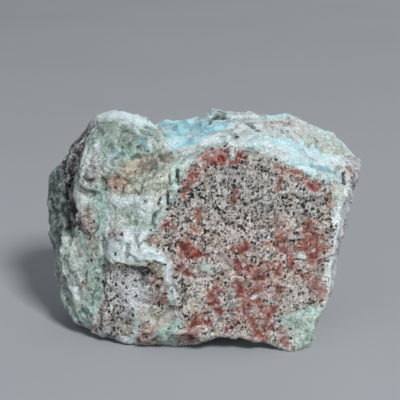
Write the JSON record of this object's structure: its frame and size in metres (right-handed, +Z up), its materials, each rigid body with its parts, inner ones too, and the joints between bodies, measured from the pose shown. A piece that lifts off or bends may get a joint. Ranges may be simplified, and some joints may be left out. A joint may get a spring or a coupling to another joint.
{
  "type": "rough larimar stone",
  "caption": "Rough broken larimar stone with a speckled face, pale blue and green crust and a small flat base to rest on.",
  "frame": {"origin": "middle of the stone's footprint, on the surface that it rests on", "axes": "+Z up, +X along the stone's length, -Y towards the speckled face"},
  "size_m": [0.107, 0.06, 0.072],
  "materials": {
    "stone": "rough"
  },
  "bodies": {
    "root": {"stone": "stone"}
  },
  "joints": []
}
